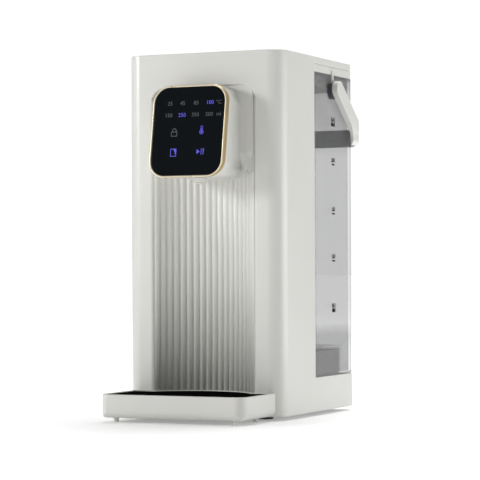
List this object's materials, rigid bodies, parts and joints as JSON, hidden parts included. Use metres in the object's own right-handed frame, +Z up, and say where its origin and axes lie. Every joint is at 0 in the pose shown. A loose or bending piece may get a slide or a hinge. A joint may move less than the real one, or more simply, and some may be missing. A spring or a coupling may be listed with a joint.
{
  "type": "instant hot water dispenser",
  "caption": "Slim worktop hot water dispenser: column with a fluted cup niche and tilted touch head, lift-out tank with lid and bail handle behind, drip tray with grille in front.",
  "frame": {"origin": "middle of the bounding box on the worktop, under the feet", "axes": "+Z up, +X to the right seen from the front, the front with its tray looks towards -Y"},
  "size_m": [0.1628, 0.2298, 0.31],
  "materials": {
    "white_plastic": "smooth satin",
    "dark_rubber": "matte",
    "steel": "brushed",
    "grey_plastic": "matte",
    "silicone": "smooth",
    "dark_plastic": "matte",
    "gold_trim": "gold anodised",
    "black_glass": "polished",
    "smoked_clear": "clear, smoked",
    "board": "solder mask",
    "black_plastic": "smooth"
  },
  "bodies": {
    "base": {"front_casing": "white_plastic", "niche_panel": "white_plastic", "top_cover": "white_plastic", "rear_panel": "white_plastic", "rear_screws": "steel", "tank_deck": "white_plastic", "base_plate": "white_plastic", "rubber_feet": "dark_rubber", "base_screws": "steel", "cord_gland": "dark_rubber", "terminal_block": "white_plastic", "head_housing": "white_plastic", "trim_ring": "gold_trim", "touch_glass": "black_glass", "light_mask": "dark_plastic", "display_board": "board", "display_cable": "grey_plastic", "nozzle": "white_plastic", "inlet_socket": "grey_plastic", "inlet_seal": "dark_rubber", "inlet_hose": "silicone", "pump_housing": "grey_plastic", "pump_motor": "steel", "pump_strap": "white_plastic", "pump_hose": "silicone", "heater_tube": "steel", "heater_caps": "grey_plastic", "heater_clips": "white_plastic", "thermal_cutout": "dark_plastic", "temperature_probe": "steel", "outlet_hose": "silicone", "power_board": "board", "board_standoffs": "grey_plastic"},
    "tank": {"tank_body": "smoked_clear", "tank_collar": "white_plastic", "bail_bushes": "dark_plastic", "valve_body": "grey_plastic", "valve_cage": "grey_plastic", "valve_spring": "steel"},
    "lid": {"tank_lid": "white_plastic", "lid_seal": "dark_rubber"},
    "bail": {"bail_handle": "white_plastic"},
    "valve": {"valve_plunger": "white_plastic", "valve_seal": "dark_rubber"},
    "tray": {"drip_tray": "white_plastic", "tray_feet": "white_plastic"},
    "grille": {"drip_grille": "black_plastic"},
    "rotor": {"pump_rotor": "grey_plastic"}
  },
  "joints": [
    {"name": "tank_lift", "type": "slide", "parent": "base", "child": "tank", "axis": [0, 0, 1], "range_m": [0, 0.29]},
    {"name": "lid_lift", "type": "slide", "parent": "tank", "child": "lid", "axis": [0, 0, 1], "range_m": [0, 0.02]},
    {"name": "bail_swing", "type": "hinge", "parent": "tank", "child": "bail", "pos_m": [0, 0.0601, 0.2823], "axis": [1, 0, 0], "range_deg": [0, 127.5]},
    {"name": "valve_push", "type": "slide", "parent": "tank", "child": "valve", "axis": [0, 0, 1], "range_m": [0, 0.004], "stiffness_N_per_m": 300, "springref_m": -0.004, "deforming": ["valve_spring"]},
    {"name": "tray_slide", "type": "slide", "parent": "base", "child": "tray", "axis": [0, -1, 0], "range_m": [0, 0.09]},
    {"name": "grille_lift", "type": "slide", "parent": "tray", "child": "grille", "axis": [0, 0, 1], "range_m": [0, 0.03]},
    {"name": "pump_spin", "type": "hinge", "parent": "base", "child": "rotor", "pos_m": [0, -0.0019, 0.06], "axis": [0, 0, 1], "continuous": true}
  ]
}
